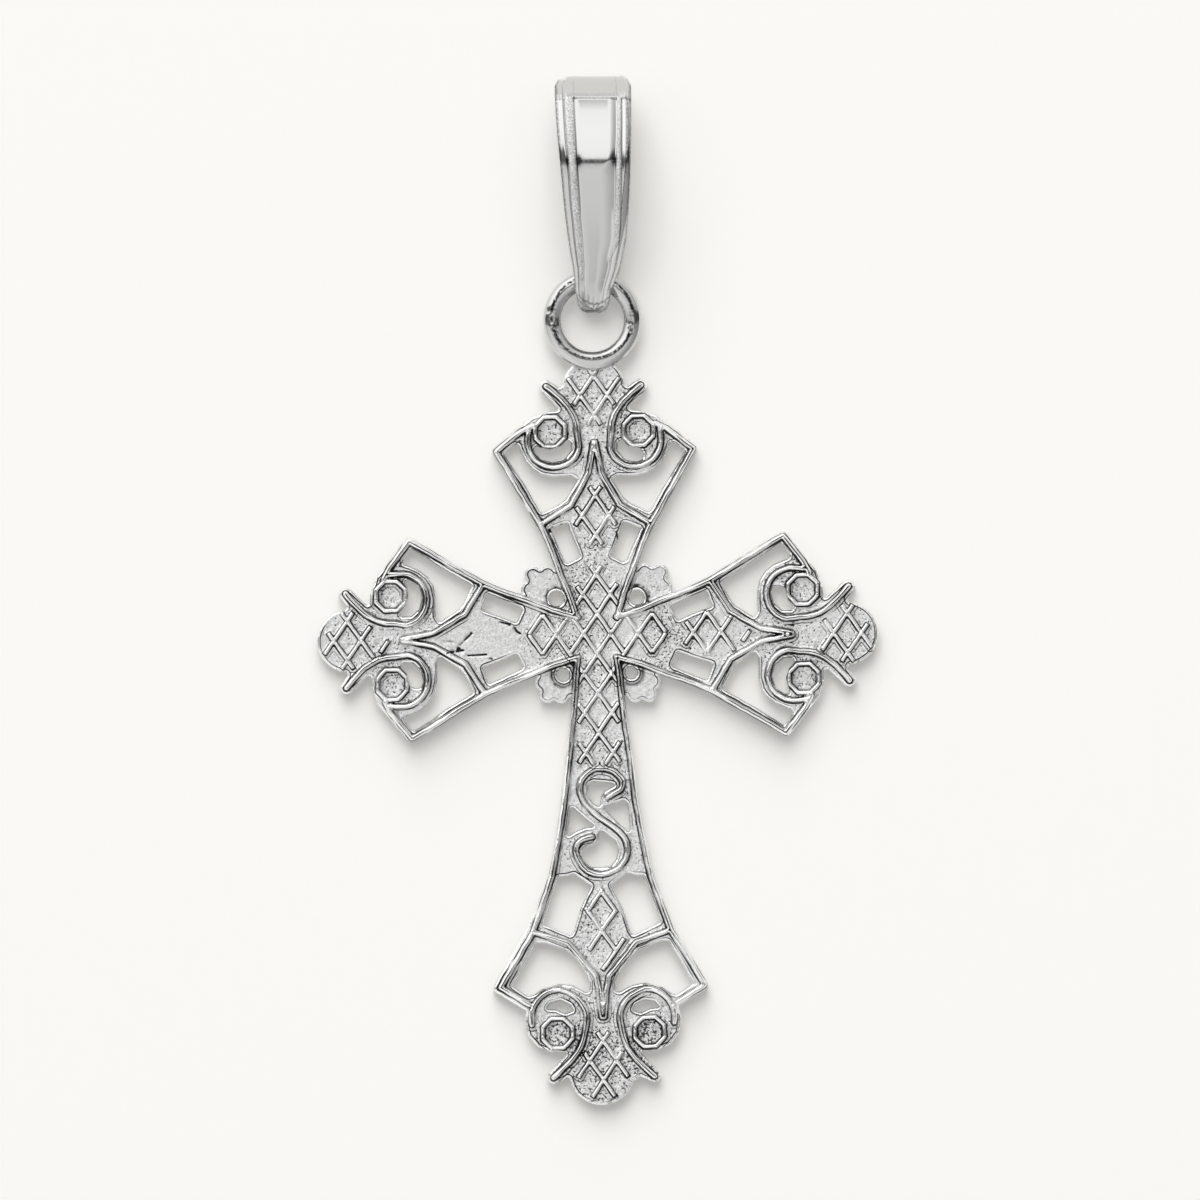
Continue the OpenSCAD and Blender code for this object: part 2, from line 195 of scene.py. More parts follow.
# Place along the bail from its foot, and share of the way from the foot's width to the top's
BAIL_TAPER = [(0, -0.3), (0.015, -0.3), (0.03, -0.12), (0.055, -0.05), (0.08, -0.02),
              (0.12, 0.11), (0.2, 0.33), (0.32, 0.59), (0.48, 0.75), (0.64, 0.86), (0.8, 0.95),
              (1, 1)]
TAPER_OVERRUN = 0.1
# Place along Y, and how far the strap is bent to the right there
BAIL_SWAY = [(8.7, -0.01), (9.2, -0.01), (9.45, 0.0), (9.7, 0.04), (10.0, 0.08), (10.8, 0.095),
             (11.4, 0.08), (12.4, 0.06), (13.5, 0.02), (14.6, -0.015), (15.3, -0.03)]
# The front flank: where it runs and how far it bows out. Corners are eased over stations.
FLANK = (8.99, 12.0)
FLANK_BOW = 0.04
EASED_STATIONS = 44

# Section of the strap: points over each zone from left to right (flange, rib, panel, rib,
# bevel, flange), and how far below its envelope each kind of zone lies
ZONE_POINTS = (11, 15, 31, 13, 7, 8)
PANEL_SINK = 0.045
FLANGE_SINK = 0.085
BEVEL_SINK = 0.03
# Where the zones part, as shares of the half width
LEFT_RIB = (-0.765, -0.51)
RIGHT_RIB = (0.62, 0.75)
BEVEL_END = 0.89
# Where the left and right rib fade in from the foot, and the beads across and along a rib
# with their seed
RIBS_FADE = ((0.85, 1.05), (1.35, 1.55))
RIB_BEADS = (3.5, 0.045, 4.0)
# Where the strap turns down at its cap
CAP_EDGE = 14.66
# Dark blobs of painted reflection where the panel turns to the long flank: place and reach
# along Y, and for each the index of the zone's edge that it lies by, how far beside it, and
# its reach
PANEL_TURN = (12.94, 0.13)
BLOBS = ((2, 0.04, 0.09), (3, -0.04, 0.07), (1, -0.03, 0.04))

# Colours of the silver: bright, pale and grey metal, tarnish and painted shade on the casting,
# beads, and solder and painted shade on the polished parts
WHITE = (1.0, 1.0, 0.995)
PALE = (0.9, 0.9, 0.895)
GREY = (0.62, 0.62, 0.615)
PAINTED_SHADE_AND_TARNISH = (0.03, 0.03, 0.03)
POLISHED = (0.645, 0.645, 0.64)
BEAD_PALE = (0.85, 0.85, 0.845)
BEAD_GREY = (0.5, 0.5, 0.5)
PAINTED_SHADE_AND_SOLDER = (0.025, 0.025, 0.025)
# Noise textures of the cast silver: scale, detail and roughness
CAST_GRAIN = (17000.0, 3.0, 0.6)
SPECKS = (15000.0, 2.0, 0.6)
PATCHES = (1300.0, 3.0, 0.6)
EMPHASIS = (2300.0, 2.0, 0.6)
FORCE = (1250.0, 2.0, 0.6)
OTHER_FORCE = (1000.0, 1.0, 0.5)
# Dark lines of the cast silver, painted shade beside the wires and strokes and along the
# border, and a painted reflection along the wires' crests: distance inside the edge they
# follow, and half width. Each wire and stroke has one just outside and one further off.
NEAR_LINES = ((-0.008, 0.02), (-0.007, 0.017))
FAR_LINES = ((-0.1, 0.014), (-0.09, 0.014))
CREST_LINE = (0.07, 0.013)
BORDER_LINE = (0.083, 0.017)
# Noise textures of the polished silver, whose scratches run across it
SCRATCHES = (2500.0, 4.0, 0.5)
FINE_BEADS = (22000.0, 3.0, 0.6)

# The floor's own glow stands for light that the charm is too small to block
FLOOR_HALF = 3.0
FLOOR_COLOUR = (0.93, 0.92, 0.89, 1.0)
FLOOR_GLOW = 0.409
LIGHT_HEIGHT = 2.0
# Lamps over the floor in metres: left, right, near and far edge, and radiance. The key lamp
# lies above and beyond the bail, to its left, the low lamp further off, and the fill lamp all
# over that side of the zenith.
LAMPS = {"key_lamp": (-0.75, 0.35, 0.5, 1.85, 4.57), "low_lamp": (-1.8, 0.8, 1.85, 8.0, 2.59),
         "fill_lamp": (-2.5, 1.5, -0.2, 4.0, 0.484)}
# What polished metal mirrors: place from the -Y horizon (0) over the zenith (0.5) to the +Y
# horizon (1), and brightness there. A dark gap parts two softboxes and widens to its sides.
STUDIO_ALONG_Y = [(0.0, 0.59), (0.005, 0.65), (0.0125, 0.71), (0.025, 0.79), (0.065, 0.83),
                  (0.2, 0.86), (0.45, 0.88), (0.503, 0.75), (0.515, 0.14), (0.54, 0.14),
                  (0.555, 1.25), (0.6, 1.33), (0.775, 1.36), (0.925, 1.3), (0.9635, 0.95),
                  (0.983, 0.72), (0.993, 0.72), (1.0, 0.9)]
STUDIO_ALONG_X = [(0.0, 0.8), (0.15, 1.05), (0.3, 1.15), (0.43, 1.0), (0.55, 1.0), (0.63, 0.74),
                  (0.74, 0.5), (1.0, 0.42)]
GAP_WIDENS = (0.02, 0.3, 1.0, 2.8)
GAP_MIDDLE = 0.055

# The camera looks straight down on the plate's face: width and middle of what it sees there,
# distance, turn in degrees, sensor, and clipping in metres
VIEW_WIDTH = 32.67
VIEW_CENTRE = (0.089, 1.006)
PLATE_FACE = 0.6
CAMERA_DISTANCE = 1000.0
CAMERA_TURN = -0.9
CAMERA_SENSOR = 36.0
CAMERA_CLIP = (0.05, 10.0)


def cloud(points, size, seed):
    """Smooth noise from -1 to 1 at each point, with lumps of about that size."""
    scaled = np.asarray(points) / size
    return np.array([noise.noise((*p, seed)) for p in scaled[:, :2].tolist()])


def noise_grid(first, second, seed):
    """Smooth noise from -1 to 1 over a grid of two coordinates."""
    return np.array([[noise.noise((a, b, seed)) for b in second.tolist()] for a in first.tolist()])


def smooth_step(low, high, value):
    """0 up to the low end, 1 from the high end, and an eased rise between them."""
    t = np.clip((value - low) / (high - low), 0, 1)
    return t * t * (3 - 2 * t)


def grown(most, low, high, value):
    """An amount that grows from none at the low end to its most at the high end."""
    return most * smooth_step(low, high, value)


def hump(value, middle, reach):
    """1 at the middle, and falling off smoothly to both sides over the reach."""
    return np.exp(-((value - middle) / reach) ** 2)


def leftward(run):
    """The unit step to the left of each run in a plane."""
    return np.stack([-run[:, 1], run[:, 0]], axis=1) / np.linalg.norm(run, axis=1)[:, None]


def rim_of(triangles):
    """Directed edges that only one triangle has."""
    edges = np.concatenate([triangles[:, [0, 1]], triangles[:, [1, 2]], triangles[:, [2, 0]]])
    count = triangles.max() + 1
    there, back = edges[:, 0] * count + edges[:, 1], edges[:, 1] * count + edges[:, 0]
    return edges[~np.isin(there, back)]


class Region:
    """Level faces of the frame at one height, seen in plan."""

    def __init__(self, corners):
        flat = corners.reshape(-1, 2)
        keys = np.round(flat / WELD).astype(np.int64)
        _, first, index = np.unique(keys, axis=0, return_index=True, return_inverse=True)
        triangles = index.reshape(-1, 3)
        triangles = triangles[[len(set(t)) == 3 for t in triangles.tolist()]]
        self.points = flat[first]
        self.edges = rim_of(triangles)
        plan = [(x, y, 0.0) for x, y in self.points.tolist()]
        self.faces = BVHTree.FromPolygons(plan, triangles.tolist())
        walls = [(x, y, z) for z in (-1.0, 1.0) for x, y in self.points.tolist()]
        count = len(self.points)
        quads = [(a, b, b + count, a + count) for a, b in self.edges.tolist()]
        self.walls = BVHTree.FromPolygons(walls, quads)

    def depth(self, points):
        """How far inside the region's edge each point lies, negative outside it."""
        return self.depth_and_side(points)[0]

    def depth_and_side(self, points):
        """Depth inside the edge, and how much the nearest edge faces down the sheet."""
        found = np.empty(len(points))
        side = np.zeros(len(points))
        for i, (x, y) in enumerate(points.tolist()):
            place, _, _, near = self.walls.find_nearest((x, y, 0.0), EDGE_REACH)
            distance = EDGE_REACH if near is None else near
            inside = self.faces.ray_cast((x, y, 0.5), (0.0, 0.0, -1.0))[0] is not None
            found[i] = distance if inside else -distance
            if place is not None and distance > TINY:
                side[i] = (y - place.y) / distance * (1 if inside else -1)
        return found, side

    def stepped(self, step):
        """Start and run of each edge, and of each even step its edge, place and their count."""
        start = self.points[self.edges[:, 0]]
        run = self.points[self.edges[:, 1]] - start
        count = np.maximum(1, np.ceil(np.linalg.norm(run, axis=1) / step).astype(int))
        which = np.repeat(np.arange(len(start)), count)
        place = np.arange(count.sum()) - (np.cumsum(count) - count)[which]
        return start, run, count, which, place

    def outline(self, step):
        """Points along the region's edge at even steps, and the links between them."""
        start, run, count, which, place = self.stepped(step)
        first = np.cumsum(count) - count
        begins_at = dict(zip(self.edges[:, 0].tolist(), first.tolist()))
        follows = np.arange(1, count.sum() + 1)
        follows[first + count - 1] = [begins_at.get(v, -1) for v in self.edges[:, 1].tolist()]
        links = [(a, b) for a, b in enumerate(follows.tolist()) if b >= 0]
        return start[which] + run[which] * (place / count[which])[:, None], links

    def row(self, step, inset):
        """Points that run beside the region's edge at an even inset, inside it or out."""
        start, run, count, which, place = self.stepped(step)
        share = (place + 0.5) / count[which]
        points = start[which] + run[which] * share[:, None] + leftward(run)[which] * inset
        return points[np.abs(self.depth(points) - inset) < 0.12 * abs(inset) + 0.002]


def level_regions(node):
    """The node's level faces as regions: the underside, then those facing up by height."""
    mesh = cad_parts[node].data
    mesh.calc_loop_triangles()
    places = np.empty(len(mesh.vertices) * 3)
    mesh.vertices.foreach_get("co", places)
    triangles = np.empty(len(mesh.loop_triangles) * 3, np.int32)
    mesh.loop_triangles.foreach_get("vertices", triangles)
    corners = (places.reshape(-1, 3) / MM)[triangles.reshape(-1, 3)]
    height = corners[:, :, 2].mean(axis=1)
    level = np.ptp(corners[:, :, 2], axis=1) < FLAT
    area = np.cross(corners[:, 1] - corners[:, 0], corners[:, 2] - corners[:, 0])[:, 2] / 2
    under = level & (area < 0) & (np.abs(height) < FLAT)
    regions = [(0.0, Region(corners[under][:, ::-1, :2]))]
    for z in np.unique(np.round(height[level & (area > 0)], 3)):
        here = level & (area > 0) & (np.abs(height - z) < SAME_LEVEL)
        if area[here].sum() > SMALLEST_LEVEL:
            regions.append((float(z), Region(corners[here][:, :, :2])))
    return regions


def spread(layers):
    """The points of all layers, apart from those within a layer's gap of one taken before."""
    taken, kept = {}, []
    for points, gap in layers:
        for x, y in points.tolist():
            column, row = int(x // HASH_CELL), int(y // HASH_CELL)
            near = [p for c in (column - 1, column, column + 1) for r in (row - 1, row, row + 1)
                    for p in taken.get((c, r), ())]
            if gap == 0 or all((x - u) ** 2 + (y - v) ** 2 > gap * gap for u, v in near):
                taken.setdefault((column, row), []).append((x, y))
                kept.append((x, y))
    return np.array(kept)


def filled(points, links, region, sources):
    """Corners and triangles that fill the region between points, and the corners' sources."""
    made = delaunay_2d_cdt([Vector(p) for p in points.tolist()], links, [], 0, TINY, sources)
    corners = np.array([tuple(v) for v in made[0]])
    triangles = np.array([tuple(t) for t in made[2]])
    inside = region.depth(corners[triangles].mean(axis=1)) > 0
    return corners, triangles[inside], made[3]


def triangulate(points, links, region):
    """Points and triangles that fill the region, with the links kept as edges."""
    corners, triangles, _ = filled(points, links, region, False)
    a, b, c = (corners[triangles[:, i]] for i in range(3))
    turn = (b - a)[:, 0] * (c - a)[:, 1] - (b - a)[:, 1] * (c - a)[:, 0]
    triangles[turn < 0] = triangles[turn < 0][:, ::-1]
    used, index = np.unique(triangles, return_inverse=True)
    return corners[used], index.reshape(-1, 3)


def back_triangles(points, links, outline):
    """Triangles over the flat back, between the points of its rim."""
    _, triangles, sources = filled(points, links.tolist(), outline, True)
    first = np.array([ids[0] for ids in sources])
    return first[triangles].tolist()


def inward_steps(points, rim):
    """For each rim point, the step inwards that moves both its edges in by about one."""
    inward = leftward(points[rim[:, 1]] - points[rim[:, 0]])
    total = np.zeros_like(points)
    np.add.at(total, rim[:, 0], inward)
    np.add.at(total, rim[:, 1], inward)
    return 2 * total / np.maximum((total ** 2).sum(axis=1), 0.8)[:, None]


def hex_grid(low, high, step):
    """Points of a triangular grid over a box."""
    rows = np.arange(low[1], high[1], step * math.sqrt(3) / 2)
    columns = np.arange(low[0], high[0], step)
    return np.array([(x + step / 2 * (i % 2), y) for i, y in enumerate(rows) for x in columns])


def rounded_line(depth, half, root):
    """Height share of a raised line by depth inside its edge, with a faded root outside."""
    crown = np.sqrt(1 - (1 - np.clip(depth / half, 0, 1)) ** 2)
    return np.where(depth > 0, root + (1 - root) * crown, root * np.exp(depth / ROOT_FADE))


def eye_centres():
    """Middles of the dished eyes: two on each short arm and two on the long one."""
    x, y = SHORT_EYE
    short = [(side * x, y) for side in (-1, 1)]
    short += [(turn * y, side * x) for turn in (-1, 1) for side in (-1, 1)]
    return np.array(short + [(side * LONG_EYE[0], LONG_EYE[1]) for side in (-1, 1)]) * CELL


def eye_dish(points):
    """How far down each eye's dish lies at each point, as a share of its depth."""
    share = np.zeros(len(points))
    for centre in eye_centres():
        away = np.linalg.norm(points - centre, axis=1) / (EYE_RADIUS * CELL)
        share = np.maximum(share, np.clip(1 - away ** 2, 0, 1))
    return share


def gouge_runs():
    """Start and run of each gouge in millimetres, and its half width and depth."""
    return [(np.array(start) * CELL, np.array(end) * CELL - np.array(start) * CELL, half, depth)
            for start, end, half, depth in GOUGES]


def gouged(points):
    """How deep the casting's gouges run at each point, in millimetres."""
    found = np.zeros(len(points))
    uneven = 0.75 + 1.8 * cloud(points, *GOUGE_BREAKS)
    for start, run, half, depth in gouge_runs():
        share = np.clip((points - start) @ run / (run @ run), 0, 1)
        away = np.linalg.norm(points - start - share[:, None] * run, axis=1)
        found = np.maximum(found, depth * np.clip(uneven - (away / half) ** 2, 0, 1))
    return found


def gouge_points():
    """Points along the gouges and beside them."""
    found = []
    for start, run, half, _ in gouge_runs():
        length = np.linalg.norm(run)
        aside = np.array([-run[1], run[0]]) / length * half
        share = np.linspace(0, 1, max(3, int(2 * length / LINE_STEP)))[:, None]
        found += [start + share * run + side * aside for side in GOUGE_ROWS]
    return np.concatenate(found)


def pinhole_rims(points):
    """How far each point is up a pinhole's rounded rim, and how near it is to the rim's foot."""
    up, foot = np.zeros(len(points)), np.zeros(len(points))
    for place, hole, rim in PINHOLES:
        away = np.linalg.norm(points / CELL - np.array(place), axis=1)
        across = np.clip((away - (hole + rim) / 2) / ((rim - hole) / 2), -1, 1)
        up = np.maximum(up, np.sqrt(1 - across ** 2))
        foot = np.maximum(foot, hump(away - rim, *RIM_FOOT))
    return up, foot


def pitting(points, in_outline, on_rosette, dish, rough_end):
    """How pitted the bare ground is at each point."""
    middle, reach = SMOOTH_PATCH
    off_patch = np.linalg.norm((points / CELL - np.array(middle)) / np.array(reach), axis=1)
    found = 0.25 + 0.75 * smooth_step(*PATCH_EDGE, off_patch)
    uneven = 0.7 + 0.9 * cloud(points, *PITTING)
    found *= uneven * smooth_step(*PITTING_BEGINS, in_outline)
    found *= 1 - 0.6 * on_rosette
    found += smooth_step(0.0, 0.4, dish) * (0.15 + 0.75 * rough_end) + 0.7 * rough_end
    return np.clip(found, 0, 1.6)


def relief(points, regions):
    """Height of the cast surface, and what its material needs to know at each point."""
    (_, outline), (low_z, low), (plate_z, _), (stroke_z, strokes), (wire_z, wires) = regions
    in_outline, in_low = outline.depth(points), low.depth(points)
    in_wire, wire_side = wires.depth_and_side(points)
    in_stroke, stroke_side = strokes.depth_and_side(points)
    along = points[:, 1] / CELL
    on_rosette = in_low > 0
    height = plate_z - (plate_z - low_z) * smooth_step(-STEP_FADE / 2, STEP_FADE / 2, in_low)
    dish = eye_dish(points)
    height -= EYE_DEPTH * dish * (2 - dish)

    wobble = cloud(points, *WOBBLE) + 0.5 * cloud(points, *FINE_WOBBLE)
    wire = rounded_line(in_wire + LINE_WOBBLE * wobble, WIRE_HALF, WIRE_ROOT)
    stroke = rounded_line(in_stroke + LINE_WOBBLE * wobble, STROKE_HALF, STROKE_ROOT)
    wear = 1 + LINE_WEAR * cloud(points, *WEAR)
    height += np.maximum((wire_z - plate_z) * wire * (1 + wear) / 2,
                         (stroke_z - plate_z) * stroke * wear)
    bare = 1 - smooth_step(*LINE_BEGINS, np.maximum(wire, stroke))
    rim_up, rim_foot = pinhole_rims(points)
    height += RIM_HEIGHT * rim_up * on_rosette
    bead_height, bead_place, bead_reach = BEAD
    height += bead_height * hump(in_outline, bead_place, bead_reach)

    rough_end = smooth_step(*ROUGH_END, along)
    pitted = bare * pitting(points, in_outline, on_rosette, dish, rough_end)
    grain = cloud(points, *GRAIN) + 0.6 * cloud(points, *FINE_GRAIN)
    height += GRAIN_HEIGHT * grain * (0.25 + pitted)
    height -= PIT_DEPTH * pitted * smooth_step(*PIT_EDGE, cloud(points, *PITS))
    gouge = gouged(points)
    height -= gouge
    fall = 1 - np.clip(in_outline / EDGE_ROUND, 0, 1)
    height -= EDGE_ROUND * (1 - np.sqrt(1 - fall ** 2)) * 0.9

    polish = np.maximum(1 - bare, 0.8 * smooth_step(*EDGE_POLISHED, in_outline))
    polish = np.maximum(polish, rim_up * on_rosette)
    strength = 1 - grown(ROSETTE_FAINTER, -0.02, 0.02, in_low)
    strength *= 1 - LONG_ARM_FAINTER * smooth_step(*LONG_ARM, along) * (1 - rough_end)
    # Painted shade at the feet of the pinhole rims and in the gouges
    shaded = np.maximum(rim_foot * on_rosette, np.clip(gouge / 0.014, 0, 1.8))
    return height, {"polish": polish, "pitted": pitted, "shaded": shaded, "bare": bare,
                    "in_edge": in_outline, "in_wire": in_wire, "in_stroke": in_stroke,
                    "by_wire": (BY_WIRE[0] + BY_WIRE[1] * wire_side) * strength,
                    "by_stroke": (BY_STROKE[0] + BY_STROKE[1] * stroke_side) * strength}


def warp(points):
    """Moves points in plan a little, as a hand-carved model and its casting are uneven."""
    moved = points.copy()
    for axis in (0, 1):
        moved[:, axis] += WARP * cloud(points, WARP_SIZE, WARP_SEEDS[axis])
        moved[:, axis] += WAVER * cloud(points, WAVER_SIZE, WAVER_SEEDS[axis])
    return moved


def cross_points(regions):
    """The cross's points in plan, and the links between those along its outline."""
    (_, outline), (_, low), _, (_, strokes), (_, wires) = regions
    edge, links = outline.outline(LINE_STEP)
    ground = hex_grid(edge.min(axis=0), edge.max(axis=0), GROUND_STEP)
    rows = [wires.outline(LINE_STEP)[0]]
    rows += [wires.row(LINE_STEP, inset) for inset in WIRE_ROWS]
    rows += [strokes.outline(LINE_STEP)[0]]
    rows += [strokes.row(LINE_STEP, inset) for inset in STROKE_ROWS]
    rows += [outline.row(LINE_STEP, inset) for inset in OUTLINE_ROWS]
    rows += [low.row(LINE_STEP, inset) for inset in ROSETTE_ROWS]
    rows += [gouge_points()]
    layers = [(row, LINE_GAP) for row in rows] + [(ground, GROUND_GAP)]
    layers = [(p[outline.depth(p) > OUTLINE_MARGIN], gap) for p, gap in layers]
    return spread([(edge, 0)] + layers), links


def cross_mesh(regions):
    """The casting: its relief, walls and back."""
    outline = regions[0][1]
    points, links = cross_points(regions)
    points, top = triangulate(points, links, outline)
    height, values = relief(points, regions)
    rim = rim_of(top)
    steps = inward_steps(points, rim)
    on_rim = np.unique(rim)
    place = np.full(len(points), -1)
    place[on_rim] = np.arange(len(on_rim))
    base = len(points)
    plan = warp(points)
    vertices = [np.column_stack([plan, height])]
    faces = [tuple(t) for t in top.tolist()]
    above = rim
    wall_rows = [(0.0, WALL_ROW), (0.0, BACK_ROUND), (BACK_ROUND, 0.0)]
    for i, (inset, z) in enumerate(wall_rows):
        ring = plan[on_rim] + steps[on_rim] * inset
        vertices.append(np.column_stack([ring, np.full(len(ring), z)]))
        below = place[rim] + base + i * len(on_rim)
        faces += [(b, a, c, d) for (a, b), (c, d) in zip(above.tolist(), below.tolist())]
        above = below
    start = base + (len(wall_rows) - 1) * len(on_rim)
    back = back_triangles(points[on_rim], place[rim], outline)
    faces += [(start + c, start + b, start + a) for a, b, c in back]
    extra = len(wall_rows) * len(on_rim)
    values = {name: np.concatenate([values[name], np.full(extra, on_wall)])
              for name, on_wall in WALL_VALUES.items()}
    return np.concatenate(vertices), faces, values


def placed(name, data):
    """An object of the scene with that name and data."""
    thing = bpy.data.objects.new(name, data)
    bpy.context.scene.collection.objects.link(thing)
    return thing


def make_piece(name, vertices, faces, values, material, slot, replaced):
    """A smooth mesh piece in the frame's metres, with a number at each vertex per value."""
    mesh = bpy.data.meshes.new(name)
    mesh.from_pydata((np.asarray(vertices) * MM).tolist(), [], faces)
    mesh.polygons.foreach_set("use_smooth", [True] * len(mesh.polygons))
    mesh.materials.append(material)
    for value_name, numbers in values.items():
        attribute = mesh.attributes.new(value_name, "FLOAT", "POINT")
        attribute.data.foreach_set("value", np.asarray(numbers, np.float32))
    piece = placed(name, mesh)
    piece.visible_diffuse = False
    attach(piece, "root")
    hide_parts(replaced)
    return piece


def grid_faces(rows, columns):
    """Quads of a grid that closes on itself both ways."""
    faces = []
    for i in range(rows):
        for j in range(columns):
            next_i, next_j = (i + 1) % rows, (j + 1) % columns
            faces.append((i * columns + j, next_i * columns + j,
                          next_i * columns + next_j, i * columns + next_j))
    return faces


def squared(value):
    """A sine or cosine drawn out so that wire has a slightly flattened crest."""
    return np.sign(value) * np.abs(value) ** (2 / RING_SQUARENESS)


def soldered(turn, face):
    """How much solder lies on the ring, by turns round it and round its wire."""
    found = np.zeros((turn.size, face.size))
    for (turn_at, face_at), (turn_reach, face_reach) in SOLDER:
        apart = (np.degrees(turn) - turn_at + 180) % 360 - 180
        off = (np.degrees(face) - face_at + 180) % 360 - 180
        found = np.maximum(found, np.exp(-(apart / turn_reach) ** 2 - (off / face_reach) ** 2))
    return found


def ring_painted_reflection(turn, face, lumps):
    """How dark the ring is painted: painted reflections along the line off its crest and along its
    inside.
    """
    upper = np.sin(face) > 0
    near, far = LINE_OFFSET
    line_at = np.where(np.sin(turn) > 0, far, near) * np.sin(turn)
    line_at = line_at + 0.03 * lumps * (np.sin(turn) > -0.3)
    line = smooth_step(*LINE_EDGES, np.abs(np.cos(face) - line_at)) * upper
    line *= smooth_step(0.12, 0.3, np.abs(np.sin(turn))) * np.clip(1.1 + 1.7 * lumps, 0, 1.3)
    return np.maximum(line, 0.55 * (hump(np.cos(face), -0.88, 0.1) * upper))


def ring_mesh():
    """The soldered ring, with a fillet where it laps the lobe and rough spots of solder."""
    turn = np.linspace(0, 2 * math.pi, RING_AROUND, endpoint=False)[:, None]
    face = np.linspace(0, 2 * math.pi, RING_SECTION, endpoint=False)[None, :]
    around, on_wire, seed = RING_LUMPS
    lumps = noise_grid(turn[:, 0] * around, face[0] * on_wire, seed)
    sooty = soldered(turn, face)
    from_lobe = np.abs((turn + math.pi / 2 + math.pi) % (2 * math.pi) - math.pi)
    fillet = 0.06 * hump(from_lobe, 0, 0.42) * np.clip(np.cos(face + 0.5), 0, 1) ** 2
    wire = RING_WIRE + fillet
    wire = wire - 0.022 * sooty * (0.4 + np.abs(lumps)) + 0.001 * lumps
    out = RING_MAJOR + wire * squared(np.cos(face))
    x = out * np.cos(turn)
    y = RING_Y + out * np.sin(turn)
    z = RING_Z + wire * squared(np.sin(face))
    vertices = np.stack([x, y, z], axis=2).reshape(-1, 3)
    vertices[:, :2] += (0.006 * cloud(vertices, 0.5, 3.0))[:, None]
    # The ring's solder, and its painted reflections along the crest line and inside
    dark = np.maximum(sooty, ring_painted_reflection(turn, face, lumps))
    values = {"rough": 0.3 * sooty.ravel(), "sooty": dark.ravel()}
    return vertices, grid_faces(RING_AROUND, RING_SECTION), values


def bail_side():
    """Side view of the bail's outside: even points, the way each faces, and how far along."""
    facing = np.radians(np.linspace(-180, 180, BAIL_FACINGS + 1))[:-1]
    out = np.stack([np.sin(facing), np.cos(facing)], axis=1)
    half = np.array(BAIL_TOP_HALF)
    reach = np.linalg.norm(out * half, axis=1)[:, None]
    top = np.array(BAIL_TOP) + out * half ** 2 / reach
    foot = np.array(BAIL_FOOT) + out * BAIL_FOOT_RADIUS
    further = ((top - foot) * out).sum(axis=1) > 0
    outline = np.where(further[:, None], top, foot)
    closed = np.concatenate([outline, outline[:1]])
    length = np.concatenate([[0], np.cumsum(np.linalg.norm(np.diff(closed, axis=0), axis=1))])
    even = np.linspace(0, length[-1], BAIL_STATIONS, endpoint=False)
    points = np.stack([np.interp(even, length, closed[:, i]) for i in range(2)], axis=1)
    return points, leftward(np.roll(points, -1, axis=0) - np.roll(points, 1, axis=0)), even


def bail_half_width(y):
    """Half the bail's width at a place along it, with the taper's corners eased."""
    start = FOOT_END - TAPER_OVERRUN
    place, share = np.array(BAIL_TAPER).T
    width = BAIL_FOOT_WIDTH + (BAIL_WIDTH - BAIL_FOOT_WIDTH) * share
    reach = np.clip(0.25 * (y - start - 0.4), 0.02, 0.3)
    near = [np.interp((y + k * reach - start) / (BAIL_LENGTH + 2 * TAPER_OVERRUN), place, width)
            for k in (-1, -0.5, 0, 0.5, 1)]
    return np.mean(near, axis=0) / 2


def eased_flank(points, normal):
    """The bail's side view with its long front flank bowed and its corners eased."""
    weight = np.hanning(2 * EASED_STATIONS + 1)
    weight /= weight.sum()
    around = np.concatenate([points[-EASED_STATIONS:], points, points[:EASED_STATIONS]])
    eased = np.stack([np.convolve(around[:, i], weight, "valid") for i in range(2)], axis=1)
    y = points[:, 0]
    top = smooth_step(0.1, 0.3, normal[:, 1])
    flank = smooth_step(9.7, 10.5, y) * smooth_step(12.6, 12.0, y) * top
    along = np.clip((y - FLANK[0]) / (FLANK[1] - FLANK[0]), 0, 1)
    bow = FLANK_BOW / (4 / 27) * along * (1 - along) ** 2 * top
    past_crest = y - BAIL_TOP[0]
    bow -= 0.019 * past_crest * hump(past_crest, 0, 0.5) * top
    return points + (eased - points) * flank[:, None] + normal * bow[:, None]


def zone_edges(y, along):
    """Where the strap's zones begin and end, as shares of its half width by station."""
    wander = 0.014 * noise_grid(along / 0.8, np.array([3.0]), 8.0)[:, 0]
    one = np.ones(len(y))
    return [-one, LEFT_RIB[0] + wander, LEFT_RIB[1] - wander,
            RIGHT_RIB[0] - grown(0.05, 13.9, 12.6, y) - grown(0.08, 10.75, 10.2, y),
            RIGHT_RIB[1] - grown(0.19, 10.75, 10.2, y) + wander,
            BEVEL_END - grown(0.11, 13.4, 11.4, y), one]


def rib(count, along, on):
    """Sink and roughness over a beaded rib that stands up where it is on."""
    t = np.linspace(-1, 1, count)
    across, length, seed = RIB_BEADS
    crown = np.sqrt(1 - t[None, :] ** 2)
    height = crown * (0.8 + 0.22 * noise_grid(t * across, along / length, seed).T)
    on = on[:, None]
    return PANEL_SINK * (1 - on * height) + 0.01 * on * (1 - crown), on * crown


